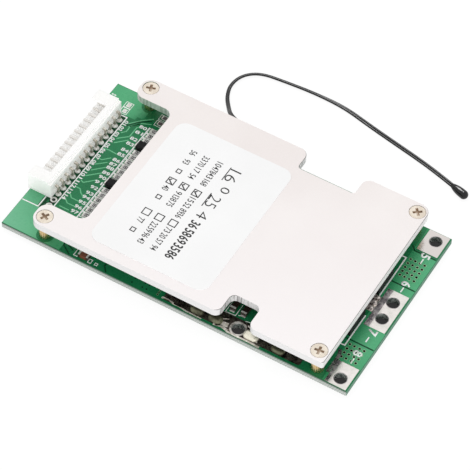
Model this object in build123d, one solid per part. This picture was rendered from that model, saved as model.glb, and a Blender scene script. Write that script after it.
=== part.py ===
from build123d import *
import os
from math import atan2, degrees, pi, radians, sqrt, tan

# Battery management board: a green circuit board with a white balance socket at its left end,
# bare power terminals at its right end, and an aluminium heatsink plate on four brass standoffs.
# Millimetres. +X runs from the socket to the power terminals, +Y to the back edge, +Z up.
# The part stands on the staked ends of its standoffs, which are at Z = 0.

# Circuit board
board_length = 110.0
board_width = 61.3
board_thickness = 2.0
underside_stand = 1.0        # pin tails and staked ends below the board
land_thickness = 0.1         # tinned copper on the board's faces

# Heatsink plate
plate_thickness = 2.5
plate_setback_left = 9.65    # from the board's left edge
plate_setback_right = 7.4    # from the board's right edge
plate_overhang = 0.6         # past the board's long edges
plate_corner_radius = 3.1
plate_sharp_radius = 0.8      # the front right corner
plate_top_round = 0.2
left_notch_depth = 13.3
left_notch_arm = 7.75        # width of the two arms beside the left notch
left_notch_radius = 2.6
back_notch_width = 18.1
back_notch_depth = 6.85
back_notch_from_right = 21.05
back_notch_inner_radius = 1.0
back_notch_outer_radius = 2.6
front_notch_width = 9.0
front_notch_depth = 7.65
front_notch_inner_radius = 2.0
front_notch_outer_radius = 2.2

# Standoffs and plate screws
standoff_height = 5.7
standoff_radius = 1.8
standoff_flutes = 20
standoff_chamfer = 0.25
flute_radius = 0.2
stake_shank_radius = 1.3
stake_head_radius = 1.75
stake_head_round = 0.4
screw_margin_left = 0.65     # plate left between a screw's seat and its edge
screw_margin_right = 0.45
screw_margin_side = 0.75
screw_head_radius = 2.35
screw_rim = 0.35
screw_rim_gap = 0.15
screw_shank_radius = 1.25
screw_reach = 4.2            # thread length inside the standoff
screw_bore_spare = 0.5       # depth of the standoff's bore past the screw's end
screw_edge_chamfer = 0.12
screw_hole_clearance = 0.2
screw_turns = (20, 65, 38, 8)
recess_arm = 1.4
recess_width = 0.8
recess_depth = 1.0

# Balance socket
pin_count = 14
spare_positions = 2
pin_pitch = 2.5
pin_size = 0.64
pin_height = 3.2             # pin centre above the board
pin_bend_radius = 0.6
pin_tip_chamfer = 0.18
pin_tip_setback = 1.0
pin_hole_clearance = 0.05    # from the pin's corners
socket_mid_y = 2.6
socket_end_margin = 2.45     # from the last pin to the end of the housing
socket_depth = 7.6
socket_height = 6.1
socket_wall = 0.9
socket_back_wall = 2.5
socket_ear_width = 3.9
socket_step = 0.8            # lowered rear rim of the back wall
mouth_overhang = 0.65        # how far the mouth stands out past the board's left edge

# Solder and spare holes
joint_foot_radius = 0.9
joint_gap = 0.05             # from the back of the socket
joint_film = 0.03            # solder on the pin's corners at the top of a joint
joint_waist_film = 0.11
joint_height = 0.75
joint_waist_height = 0.3
tail_joint_depth = 0.7       # the same joints below the board
tail_waist_depth = 0.4
spare_hole_radius = 0.55
spare_land_radius = 1.0

# Power terminals and the tinned strips
terminal_hole_radius = 1.8
terminal_edge_margin = 0.45
terminal_reach = 6.45        # land width, measured in from the right edge margin
terminal_hole_inset = 3.45
back_terminal_length = 8.1
back_terminal_hole_inset = 3.25
middle_terminal_length = 14.4
middle_terminal_shift = 0.5  # its middle, in front of its tongue's middle
middle_hole_spacing = 6.4
middle_hole_shift = 0.1
front_terminal_length = 7.9
front_terminal_hole_inset = 2.95
land_edge_margin = 0.15
tongue_gap = 0.15            # the middle terminal's tongue, from the leads and tabs beside it
tongue_back_gap = 0.25       # from the back row of transistors
mounting_hole_radius = 1.9
mounting_land_radius = 2.45
mounting_from_right = 35.1
mounting_from_front = 2.75
bus_thickness = 0.2
bus_lead_in = 6.6            # how far the strip starts left of the transistors
bus_from_right = 15.0
bus_edge_margin = 0.75
bus_neck = 0.65              # strip left behind the mounting hole's land
bus_corner_radius = 0.7
bus_mound_inset = 1.53       # middle of the solder mounds, from the strip's front edge
bus_mound_width = 2.8
bus_mounds = (
    # distance from the strip's left end, length, height
    (10.3, 4.2, 1.1),
    (16.0, 4.4, 1.2),
    (27.2, 4.6, 1.0),
    (35.6, 4.2, 0.9),
)
bridge_mound_gap = 0.3
bridge_mound_heights = (0.7, 1.0, 0.8)
mound_corner_share = 0.45    # corner radius, of the mound's narrower side
mound_crown_share = 0.85     # rounding of the top, of the mound's height
mound_crown_limit = 0.4      # the most that rounding may take, of the narrower side

# Power transistors under the plate
mosfet_body = (10.2, 8.8, 4.4)
mosfet_chamfer = 0.35
mosfet_tab = (9.0, 1.3, 1.3)
mosfet_columns = 4
mosfet_column_gap = 0.8
mosfet_front_gap = 13.25     # from the board's front edge to the front row's leads
mosfet_row_gap = 2.8         # from the back row's leads to the front row's tabs
mosfet_terminal_gap = 1.3    # from the terminals
lead_width = 0.8
lead_thick = 0.5
lead_exit_height = 2.2
lead_run = 1.6
lead_foot = 1.9
lead_spacing = 2.54
pad_setback = 0.6            # the thermal pad's right edge, in from the transistors'

# Small parts: length, width, height, length of a metal end
resistor_size = (3.2, 1.6, 0.6, 0.5)
small_resistor_size = (2.0, 1.25, 0.5, 0.35)
capacitor_size = (3.2, 1.7, 1.3, 0.6)
shunt_size = (6.4, 3.2, 0.8, 1.1)
chip_row_inset = 19.3        # middle of the first chip column, from the board's left edge
chip_pitch = 2.1
chip_column_inset = 10.75    # first chip, from the board's back edge
chip_group_counts = (3, 6, 6)
diode_drops = (2.7, 3.3)     # from the last chip of a group down to the diode below it
group_drops = (2.5, 2.6)     # from a diode down to the next group's first chip
second_row_offset = 6.2
chip_body_width_share = 0.94
chip_body_height_share = 0.92
gate_resistor_gap = 0.36     # from the transistor's lead
gate_resistor_step = 1.0     # from the toe of its lead
pair_setback = 0.4           # the pair behind the socket, from the first chip column
pair_rises = (3.7, 6.2)      # above that column's first chip
quarter_turn = 90
notch_capacitor_rise = 6.2   # behind the mounting hole
notch_capacitor_setbacks = (4.5, 1.1)
corner_capacitor_inset = (26.1, 1.75)
shunt_count = 3
shunt_pitch = 4.2
shunt_setback = 1.0          # from the tinned strip's left end
shunt_rise = 3.0             # behind the tinned strip
diode_body = (4.2, 2.6, 2.0)
diode_chamfer = 0.3
diode_shift = 0.45
diode_lead = (0.7, 1.5, 1.0)
controller_body = (3.9, 9.9, 1.5)
controller_leads = 8
controller_lead_pitch = 1.27
controller_lead = (1.0, 0.42, 0.5)
controller_from_left = 36.0
controller_y = (11.0, -6.0)

# Label on the plate
label_thickness = 0.15
label_radius = 3.4
label_left_margin = 3.6      # from the left notch
label_right_margin = 6.45    # from the front notch
label_front_margin = 3.3     # from the plate's long edges
label_back_margin = 9.2

# Temperature lead: a thin black lead with a glossy sensor bead on its end
lead_diameter = 1.3
bead_radius = 1.35
bead_entry_radius = 0.75
bead_length = 5.7
bead_middle_share = 0.94     # radius half way along the swell, of the full radius
bead_entry_slope = 0.35
anchor_size = (3.4, 3.0, 2.0)
anchor_corner_radius = 0.5
bend_share = 0.45            # of the shorter run beside a bend that its arc may take
lead_points = (
    (-8.7, 22.6, 4.1),
    (-8.7, 26.0, 4.1),
    (-11.0, 29.7, 6.2),
    (-15.1, 33.2, 6.9),
    (-19.8, 36.1, 4.9),
    (-22.9, 40.3, 2.3),
    (-26.1, 44.9, 0.8),
    (-27.7, 49.8, 0.65),
    (-26.4, 54.9, 0.65),
    (-22.1, 58.3, 0.65),
    (-14.6, 59.1, 0.65),
    (-5.3, 59.8, 0.65),
    (5.2, 59.6, 0.65),
    (15.1, 57.2, 0.65),
    (24.6, 55.2, 0.65),
    (33.8, 53.3, 0.65),
    (41.1, 50.9, 1.35),
    (46.0, 49.4, 1.35),
)

# Edges and levels that the pieces share
board_left = (mouth_overhang - board_length) / 2
board_right = board_left + board_length
board_front = -board_width / 2
board_back = board_width / 2
board_bottom = underside_stand
board_top = board_bottom + board_thickness
plate_bottom = board_top + standoff_height
plate_top = plate_bottom + plate_thickness
plate_left = board_left + plate_setback_left
plate_right = board_right - plate_setback_right
plate_front = board_front - plate_overhang
plate_back = board_back + plate_overhang
screw_seat_radius = screw_head_radius + screw_rim_gap
screw_left_x = plate_left + screw_seat_radius + screw_margin_left
screw_right_x = plate_right - screw_seat_radius - screw_margin_right
screw_side_y = plate_back - screw_seat_radius - screw_margin_side
screw_places = (
    (screw_left_x, screw_side_y),
    (screw_left_x, -screw_side_y),
    (screw_right_x, screw_side_y),
    (screw_right_x, -screw_side_y),
)
screw_cone_depth = screw_head_radius - screw_shank_radius
mounting_x = board_right - mounting_from_right
mounting_y = board_front + mounting_from_front
pin_corner_radius = pin_size / sqrt(2)
pin_hole_radius = pin_corner_radius + pin_hole_clearance
pin_span = (pin_count - 1) * pin_pitch
pin_ys = [socket_mid_y + pin_span / 2 - i * pin_pitch for i in range(pin_count)]
spare_ys = [pin_ys[-1] - (i + 1) * pin_pitch for i in range(spare_positions)]
socket_front_x = board_left - mouth_overhang
socket_back_x = socket_front_x + socket_depth
pin_row_x = socket_back_x + joint_gap + joint_foot_radius
socket_length = pin_span + 2 * socket_end_margin
terminal_x = board_right - terminal_hole_inset
land_right = board_right - terminal_edge_margin
land_left = land_right - terminal_reach
back_hole_y = board_back - back_terminal_hole_inset
front_hole_y = board_front + front_terminal_hole_inset
mosfet_pitch = mosfet_body[0] + mosfet_column_gap
mosfet_first_x = land_left - mosfet_terminal_gap - mosfet_body[0] / 2
mosfet_left = mosfet_first_x - (mosfet_columns - 1) * mosfet_pitch - mosfet_body[0] / 2
mosfet_lead_reach = mosfet_body[1] / 2 + lead_run + lead_foot
mosfet_tab_reach = mosfet_body[1] / 2 + mosfet_tab[1]
front_row_y = board_front + mosfet_front_gap + mosfet_lead_reach
back_row_y = front_row_y + mosfet_tab_reach + mosfet_row_gap + mosfet_lead_reach
tongue_left = mosfet_first_x + lead_spacing + lead_width / 2 + tongue_gap
tongue_front = front_row_y + mosfet_tab_reach + tongue_gap
tongue_back = back_row_y - mosfet_body[1] / 2 - tongue_back_gap
middle_terminal_y = (tongue_front + tongue_back) / 2 - middle_terminal_shift
middle_hole_ys = [
    middle_terminal_y + middle_hole_shift + side * middle_hole_spacing / 2 for side in (1, -1)
]
bus_left = mosfet_left - bus_lead_in
bus_right = board_right - bus_from_right
bus_front = board_front + bus_edge_margin
bus_back = mounting_y + mounting_land_radius + bus_neck
left_notch_x = plate_left + left_notch_depth
front_notch_left = mounting_x - front_notch_width / 2
chip_column_x = board_left + chip_row_inset


def block(x0, x1, y0, y1, z0, z1):
    """A box between two corners."""
    middle = Pos((x0 + x1) / 2, (y0 + y1) / 2, (z0 + z1) / 2)
    return middle * Box(x1 - x0, y1 - y0, z1 - z0)


def post(x, y, z0, z1, radius):
    """An upright cylinder between two levels."""
    return Pos(x, y, (z0 + z1) / 2) * Cylinder(radius, z1 - z0)


def turned(x, y, profile):
    """A turned piece on an upright axis, from its outline of radius and height."""
    outline = make_face(Polyline(*[(radius, 0, z) for radius, z in profile], close=True))
    return Pos(x, y, 0) * revolve(outline, Axis.Z)


def group(solids):
    """Separate solids kept together as one piece."""
    return Compound(children=list(solids))


def near(x, y, reach=0.05):
    """Picks the corners of a flat outline at one place."""
    return lambda v: abs(v.X - x) < reach and abs(v.Y - y) < reach


def rounded_corners(outline, places, radius):
    """Rounds the corners of a flat outline at the listed places."""
    corners = [v for x, y in places for v in outline.vertices() if near(x, y)(v)]
    return fillet(corners, radius)


def circuit_board():
    board = block(board_left, board_right, board_front, board_back, board_bottom, board_top)
    holes = [post(x, y, board_bottom, board_top, stake_shank_radius) for x, y in screw_places]
    holes += [post(pin_row_x, y, board_bottom, board_top, pin_hole_radius) for y in pin_ys]
    holes += [post(pin_row_x, y, board_bottom, board_top, spare_hole_radius) for y in spare_ys]
    terminal_ys = [back_hole_y, front_hole_y] + middle_hole_ys
    holes += [post(terminal_x, y, board_bottom, board_top, terminal_hole_radius) for y in terminal_ys]
    holes.append(post(mounting_x, mounting_y, board_bottom, board_top, mounting_hole_radius))
    return board - holes


def terminal(y0, y1, hole_ys):
    """A power terminal: a tinned land on each face of the board, drilled for its wires."""
    drills = [post(terminal_x, y, 0, plate_bottom, terminal_hole_radius) for y in hole_ys]
    top = block(land_left, land_right, y0, y1, board_top, board_top + land_thickness)
    under = block(land_left, land_right, y0, y1, board_bottom - land_thickness, board_bottom)
    return top - drills, under - drills


def back_terminal():
    y1 = board_back - land_edge_margin
    return group(terminal(y1 - back_terminal_length, y1, [back_hole_y]))


def middle_terminal():
    """The long terminal, with a tongue that runs in under the plate to the transistors."""
    half = middle_terminal_length / 2
    top, under = terminal(middle_terminal_y - half, middle_terminal_y + half, middle_hole_ys)
    tongue = block(tongue_left, land_left, tongue_front, tongue_back,
                   board_top, board_top + land_thickness)
    return group([top + tongue, under])


def front_terminal():
    y0 = board_front + land_edge_margin
    return group(terminal(y0, y0 + front_terminal_length, [front_hole_y]))


def mounting_hole_ring():
    """The tinned ring round the mounting hole, on each face, cut off at the board's edge."""
    top = post(mounting_x, mounting_y, board_top, board_top + bus_thickness, mounting_land_radius)
    under = post(mounting_x, mounting_y, board_bottom - land_thickness, board_bottom,
                 mounting_land_radius)
    edge_trim = block(board_left, board_right, board_front - mounting_land_radius, board_front,
                      0, plate_bottom)
    bore = post(mounting_x, mounting_y, 0, plate_bottom, mounting_hole_radius)
    return group(ring - bore - edge_trim for ring in (top, under))


def front_bus_strip():
    """The thickly tinned strip along the front edge, cut round the mounting hole's land."""
    strip = block(bus_left, bus_right, bus_front, bus_back, board_top, board_top + bus_thickness)
    strip = fillet(strip.edges().filter_by(Axis.Z), bus_corner_radius)
    return strip - post(mounting_x, mounting_y, board_top, plate_bottom, mounting_land_radius)


def solder_mound(x, y, z, length, width, height):
    """A rounded heap of solder on a flat land."""
    heap = Pos(x, y, z) * Box(length, width, height, align=(Align.CENTER, Align.CENTER, Align.MIN))
    narrower = min(length, width)
    heap = fillet(heap.edges().filter_by(Axis.Z), mound_corner_share * narrower)
    crown = min(mound_crown_share * height, mound_crown_limit * narrower)
    return fillet(heap.faces().sort_by(Axis.Z)[-1].outer_wire().edges(), crown)


def bus_solder_mounds():
    level = board_top + bus_thickness
    mid_y = bus_front + bus_mound_inset
    return group(
        solder_mound(bus_left + along, mid_y, level, length, bus_mound_width, height)
        for along, length, height in bus_mounds
    )


def bridge_solder():
    """Solder that joins the transistor leads to the middle terminal's tongue."""
    level = board_top + land_thickness
    pitch = (tongue_back - tongue_front) / len(bridge_mound_heights)
    length = land_left - tongue_left - bridge_mound_gap
    return group(
        solder_mound((tongue_left + land_left) / 2, tongue_front + (i + 0.5) * pitch, level,
                     length, pitch - bridge_mound_gap, height)
        for i, height in enumerate(bridge_mound_heights)
    )


def notched_outline():
    """The plate's outline: a rounded rectangle with a notch in three of its sides."""
    width = plate_right - plate_left
    depth = plate_back - plate_front
    outline = Pos((plate_left + plate_right) / 2, 0) * Rectangle(width, depth)
    half_left = depth / 2 - left_notch_arm
    outline -= Pos(plate_left, 0) * Rectangle(2 * left_notch_depth, 2 * half_left)
    back_x1 = plate_right - back_notch_from_right
    back_x0 = back_x1 - back_notch_width
    back_y = plate_back - back_notch_depth
    outline -= Pos((back_x0 + back_x1) / 2, plate_back) * Rectangle(back_notch_width, 2 * back_notch_depth)
    front_x1 = front_notch_left + front_notch_width
    front_y = plate_front + front_notch_depth
    outline -= Pos(mounting_x, plate_front) * Rectangle(front_notch_width, 2 * front_notch_depth)
    outline = rounded_corners(outline, [(plate_right, plate_front)], plate_sharp_radius)
    corners = [(plate_left, plate_front), (plate_left, plate_back), (plate_right, plate_back)]
    corners += [(plate_left, half_left), (plate_left, -half_left)]
    outline = rounded_corners(outline, corners, plate_corner_radius)
    left_inner = [(left_notch_x, half_left), (left_notch_x, -half_left)]
    outline = rounded_corners(outline, left_inner, left_notch_radius)
    back_inner = [(back_x0, back_y), (back_x1, back_y)]
    outline = rounded_corners(outline, back_inner, back_notch_inner_radius)
    back_outer = [(back_x0, plate_back), (back_x1, plate_back)]
    outline = rounded_corners(outline, back_outer, back_notch_outer_radius)
    front_inner = [(front_notch_left, front_y), (front_x1, front_y)]
    outline = rounded_corners(outline, front_inner, front_notch_inner_radius)
    front_outer = [(front_notch_left, plate_front), (front_x1, plate_front)]
    return rounded_corners(outline, front_outer, front_notch_outer_radius)


def screw_profile(gap):
    """Outline of a countersunk screw's head, or of its seat where gap is more than nothing."""
    rim_radius = screw_head_radius + gap
    rim_low = plate_top - screw_rim
    cone_low = rim_low - screw_cone_depth
    return [
        (0, plate_top), (rim_radius, plate_top), (rim_radius, rim_low),
        (screw_head_radius, rim_low), (screw_shank_radius, cone_low), (0, cone_low),
    ]


def heatsink_plate():
    plate = Pos(0, 0, plate_bottom) * extrude(notched_outline(), plate_thickness)
    rim = plate.faces().sort_by(Axis.Z)[-1].outer_wire().edges()
    plate = fillet(rim, plate_top_round)
    hole_radius = screw_shank_radius + screw_hole_clearance
    for x, y in screw_places:
        plate -= turned(x, y, screw_profile(screw_rim_gap))
        plate -= post(x, y, plate_bottom, plate_top, hole_radius)
    return plate


def plate_screw(x, y, turn):
    head_top = [
        (0, plate_top), (screw_head_radius, plate_top), (screw_head_radius, plate_top - screw_rim),
        (screw_shank_radius, plate_top - screw_rim - screw_cone_depth),
        (screw_shank_radius, plate_bottom - screw_reach), (0, plate_bottom - screw_reach),
    ]
    screw = turned(x, y, head_top)
    screw = chamfer(screw.faces().sort_by(Axis.Z)[-1].edges(), screw_edge_chamfer)
    arm = Box(2 * recess_arm, recess_width, 2 * recess_depth)
    for quarter in (0, 90):
        screw -= Pos(x, y, plate_top) * Rot(0, 0, turn + quarter) * arm
    return screw


def plate_screws():
    return group(plate_screw(x, y, turn) for (x, y), turn in zip(screw_places, screw_turns))


def standoff(x, y):
    """A fluted brass post with a tapped bore, staked into the board."""
    body = post(0, 0, board_top, plate_bottom, standoff_radius)
    body = chamfer(body.edges().filter_by(GeomType.CIRCLE), standoff_chamfer)
    cutter = post(standoff_radius, 0, board_top, plate_bottom, flute_radius)
    for i in range(standoff_flutes):
        body -= Rot(0, 0, i * 360 / standoff_flutes) * cutter
    shank = post(0, 0, board_bottom, board_top, stake_shank_radius)
    head = post(0, 0, 0, board_bottom, stake_head_radius)
    head = fillet(head.faces().sort_by(Axis.Z)[0].edges(), stake_head_round)
    bore_low = plate_bottom - screw_reach - screw_bore_spare
    bore = post(0, 0, bore_low, plate_bottom, screw_shank_radius)
    return Pos(x, y, 0) * (body + shank + head - bore)


def standoffs():
    return group(standoff(x, y) for x, y in screw_places)


def connector_housing():
    """The white socket: open at its mouth and along its top between the two ears."""
    y0 = socket_mid_y - socket_length / 2
    y1 = socket_mid_y + socket_length / 2
    z1 = board_top + socket_height
    wall_x = socket_back_x - socket_back_wall
    shell = block(socket_front_x, socket_back_x, y0, y1, board_top, z1)
    shell -= block(socket_front_x, wall_x, y0 + socket_wall, y1 - socket_wall,
                   board_top + socket_wall, z1 - socket_wall)
    shell -= block(socket_front_x, wall_x, y0 + socket_ear_width, y1 - socket_ear_width,
                   board_top + socket_wall, z1)
    shell -= block(socket_back_x - socket_step, socket_back_x, y0, y1, z1 - socket_step, z1)
    slot = pin_size / 2
    pin_z = board_top + pin_height
    for y in pin_ys:
        shell -= block(wall_x, socket_back_x, y - slot, y + slot, pin_z - slot, pin_z + slot)
    return shell


def connector_pin(y):
    """A square pin: level through the housing, then bent down through the board."""
    tip_x = socket_front_x + pin_tip_setback
    pin_z = board_top + pin_height
    route = FilletPolyline((tip_x, y, pin_z), (pin_row_x, y, pin_z), (pin_row_x, y, 0),
                           radius=pin_bend_radius)
    section = Plane(origin=(tip_x, y, pin_z), z_dir=(1, 0, 0)) * Rectangle(pin_size, pin_size)
    pin = sweep(section, path=route)
    return chamfer(pin.faces().sort_by(Axis.X)[0].edges(), pin_tip_chamfer)


def connector_pins():
    return group(connector_pin(y) for y in pin_ys)


def pin_joint(y):
    """Solder through the hole, with a small cone on each face of the board."""
    neck = pin_corner_radius + joint_film
    waist = pin_corner_radius + joint_waist_film
    high = board_top + joint_height
    low = board_bottom - tail_joint_depth
    cone = turned(pin_row_x, y, [
        (0, high), (neck, high),
        (waist, board_top + joint_waist_height), (joint_foot_radius, board_top),
        (pin_hole_radius, board_top), (pin_hole_radius, board_bottom),
        (joint_foot_radius, board_bottom), (waist, board_bottom - tail_waist_depth),
        (neck, low), (0, low),
    ])
    half = pin_size / 2
    return cone - block(pin_row_x - half, pin_row_x + half, y - half, y + half, 0, plate_bottom)


def connector_solder():
    return group(pin_joint(y) for y in pin_ys)


def spare_ring(y, z0):
    """The tinned ring of a hole with no pin in it, on one face of the board."""
    ring = post(pin_row_x, y, z0, z0 + land_thickness, spare_land_radius)
    return ring - post(pin_row_x, y, z0, z0 + land_thickness, spare_hole_radius)


def spare_hole_rings():
    levels = (board_top, board_bottom - land_thickness)
    return group(spare_ring(y, z0) for y in spare_ys for z0 in levels)


def mosfet_places():
    """Middles of the transistor bodies: columns from the right, rows from the back."""
    return [
        (mosfet_first_x - column * mosfet_pitch, y)
        for column in range(mosfet_columns)
        for y in (back_row_y, front_row_y)
    ]


def mosfet_body_solid(x, y):
    length, depth, height = mosfet_body
    body = Pos(x, y, board_top + height / 2) * Box(length, depth, height)
    return chamfer(body.faces().sort_by(Axis.Z)[-1].edges(), mosfet_chamfer)


def mosfet_bodies():
    return group(mosfet_body_solid(x, y) for x, y in mosfet_places())


def mosfet_tab_solid(x, y):
    length, depth, height = mosfet_tab
    tab_y = y + mosfet_body[1] / 2 + depth / 2
    return Pos(x, tab_y, board_top + height / 2) * Box(length, depth, height)


def mosfet_tabs():
    return group(mosfet_tab_solid(x, y) for x, y in mosfet_places())


def mosfet_lead_solid(x, y):
    """A flat lead that leaves the body, steps down and lies on the board."""
    face_y = y - mosfet_body[1] / 2
    high = board_top + lead_exit_height
    knee_y = face_y - lead_run
    upper = block(x - lead_width / 2, x + lead_width / 2, knee_y, face_y, high - lead_thick, high)
    drop = block(x - lead_width / 2, x + lead_width / 2, knee_y - lead_thick, knee_y, board_top, high)
    foot = block(x - lead_width / 2, x + lead_width / 2, knee_y - lead_foot, knee_y,
                 board_top, board_top + lead_thick)
    return upper + drop + foot


def mosfet_leads():
    return group(
        mosfet_lead_solid(x + side * lead_spacing, y)
        for x, y in mosfet_places()
        for side in (-1, 1)
    )


def thermal_pad():
    """The soft sheet between the transistors and the plate."""
    x1 = mosfet_first_x + mosfet_body[0] / 2 - pad_setback
    y0 = front_row_y - mosfet_body[1] / 2
    y1 = back_row_y + mosfet_body[1] / 2
    return block(mosfet_left, x1, y0, y1, board_top + mosfet_body[2], plate_bottom)


def chip(x, y, size, turn=0):
    """A chip part lying on the board: its ceramic body and its two metal ends."""
    length, width, height, end = size
    place = Pos(x, y, board_top) * Rot(0, 0, turn)
    low = (Align.CENTER, Align.CENTER, Align.MIN)
    body_width = chip_body_width_share * width
    body_height = chip_body_height_share * height
    body = place * Box(length - 2 * end, body_width, body_height, align=low)
    ends = [
        place * Pos(side * (length - end) / 2, 0, 0) * Box(end, width, height, align=low)
        for side in (-1, 1)
    ]
    return body, ends


def chip_group(places, size):
    """The bodies and the metal ends of a set of like chips."""
    chips = [chip(x, y, size) for x, y in places]
    bodies = group(body for body, ends in chips)
    return bodies, group(end for body, ends in chips for end in ends)


def column_rows():
    """Where the chips and the diodes of a column lie, from its back end to its front end."""
    y = board_back - chip_column_inset
    chips = []
    diodes = []
    for count, diode_drop, group_drop in zip(chip_group_counts, diode_drops + (0,), group_drops + (0,)):
        chips += [y - i * chip_pitch for i in range(count)]
        diodes.append(chips[-1] - diode_drop)
        y = diodes[-1] - group_drop
    return chips, diodes[:-1]


def resistor_places():
    """Two columns of balance resistors beside the plate's left notch and under the plate."""
    chips, _ = column_rows()
    return [(chip_column_x + shift, y) for shift in (0, second_row_offset) for y in chips]


def small_resistor_places():
    """Gate resistors beside the transistor leads, and a pair behind the socket."""
    beside = lead_spacing + lead_width / 2 + gate_resistor_gap + small_resistor_size[0] / 2
    below = mosfet_lead_reach - gate_resistor_step
    gates = [(x - beside, y - below) for x, y in mosfet_places()]
    first_y = board_back - chip_column_inset
    return gates + [(chip_column_x - pair_setback, first_y + rise) for rise in pair_rises]


def capacitor_places():
    """Two capacitors seen through the front notch and one near the front left corner."""
    notch_y = mounting_y + notch_capacitor_rise
    places = [(mounting_x - setback, notch_y, quarter_turn) for setback in notch_capacitor_setbacks]
    inset_x, inset_y = corner_capacitor_inset
    return places + [(board_left + inset_x, board_front + inset_y, 0)]


def capacitors():
    chips = [chip(x, y, capacitor_size, turn) for x, y, turn in capacitor_places()]
    bodies = group(body for body, ends in chips)
    return bodies, group(end for body, ends in chips for end in ends)


def shunt_places():
    x = bus_left + shunt_setback
    first_y = bus_back + shunt_rise
    return [(x, first_y + i * shunt_pitch) for i in range(shunt_count)]


def diode_places():
    _, diodes = column_rows()
    return [(chip_column_x + diode_shift, y) for y in diodes]


def diode_bodies():
    length, width, height = diode_body
    low = (Align.CENTER, Align.CENTER, Align.MIN)
    bodies = []
    for x, y in diode_places():
        body = Pos(x, y, board_top) * Box(length, width, height, align=low)
        bodies.append(chamfer(body.edges().group_by(Axis.Z)[-1], diode_chamfer))
    return group(bodies)


def diode_leads():
    length, width, height = diode_lead
    low = (Align.CENTER, Align.CENTER, Align.MIN)
    reach = (diode_body[0] + length) / 2
    return group(
        Pos(x + side * reach, y, board_top) * Box(length, width, height, align=low)
        for x, y in diode_places()
        for side in (-1, 1)
    )


def controller_places():
    return [(board_left + controller_from_left, y) for y in controller_y]


def controller_chips():
    length, width, height = controller_body
    low = (Align.CENTER, Align.CENTER, Align.MIN)
    return group(
        Pos(x, y, board_top) * Box(length, width, height, align=low) for x, y in controller_places()
    )


def controller_chip_leads():
    length, width, height = controller_lead
    low = (Align.CENTER, Align.CENTER, Align.MIN)
    reach = (controller_body[0] + length) / 2
    half_span = (controller_leads - 1) * controller_lead_pitch / 2
    return group(
        Pos(x + side * reach, y - half_span + i * controller_lead_pitch, board_top)
        * Box(length, width, height, align=low)
        for x, y in controller_places()
        for side in (-1, 1)
        for i in range(controller_leads)
    )


def label():
    x0 = left_notch_x + label_left_margin
    x1 = front_notch_left - label_right_margin
    y0 = plate_front + label_front_margin
    y1 = plate_back - label_back_margin
    sheet = block(x0, x1, y0, y1, plate_top, plate_top + label_thickness)
    return fillet(sheet.edges().filter_by(Axis.Z), label_radius)


def bend_radii(points):
    """For each inner point of a route, the arc that its two runs allow, and the turn there."""
    corners = [Vector(*p) for p in points]
    radii = []
    turns = []
    for before, here, after in zip(corners, corners[1:], corners[2:]):
        turn = (here - before).get_angle(after - here)
        shorter = min((here - before).length, (after - here).length)
        radii.append(bend_share * shorter / tan(radians(turn / 2)))
        turns.append(turn)
    return radii, turns


def thermistor_lead():
    radii, turns = bend_radii(lead_points)
    route = FilletPolyline(*lead_points, radius=radii)
    start = Vector(*lead_points[0])
    heading = Vector(*lead_points[1]) - start
    section = Plane(origin=start, z_dir=heading) * Circle(lead_diameter / 2)
    tube = sweep(section, path=route)
    expected = pi * lead_diameter ** 2 / 4 * route.length
    print("lead radii", [round(r, 1) for r in radii])
    print("lead turns", [round(t) for t in turns])
    print("lead length", round(route.length, 1), "volume", round(tube.volume, 2), "of", round(expected, 2))
    return tube


def thermistor_bead():
    """The glossy drop on the lead's end: flat where the lead enters, round at its tip."""
    end = Vector(*lead_points[-1])
    before = Vector(*lead_points[-2])
    turn = degrees(atan2(end.Y - before.Y, end.X - before.X))
    full = bead_length - bead_radius
    edge = Line((0, bead_entry_radius), (0, 0))
    floor = Line((0, 0), (bead_length, 0))
    nose = TangentArc((full, bead_radius), (bead_length, 0), tangent=(1, 0))
    middle = (full / 2, bead_middle_share * bead_radius)
    flank = Spline((0, bead_entry_radius), middle, (full, bead_radius),
                   tangents=((1, bead_entry_slope), (1, 0)))
    outline = make_face([edge, floor, nose, flank])
    bead = revolve(outline, Axis.X)
    return Pos(end.X, end.Y, end.Z) * Rot(0, 0, turn) * bead


def lead_anchor():
    """The dab of solder and glue that holds the lead on the board, under the plate."""
    x, y = lead_points[0][:2]
    length, depth, height = anchor_size
    dab = Pos(x, y - depth / 2, board_top) * Box(length, depth, height,
                                               align=(Align.CENTER, Align.CENTER, Align.MIN))
    return fillet(dab.edges().filter_by(Axis.Z), anchor_corner_radius)


resistor_bodies, resistor_ends = chip_group(resistor_places(), resistor_size)
small_resistor_bodies, small_resistor_ends = chip_group(small_resistor_places(), small_resistor_size)
shunt_bodies, shunt_ends = chip_group(shunt_places(), shunt_size)
capacitor_bodies, capacitor_ends = capacitors()

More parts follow.
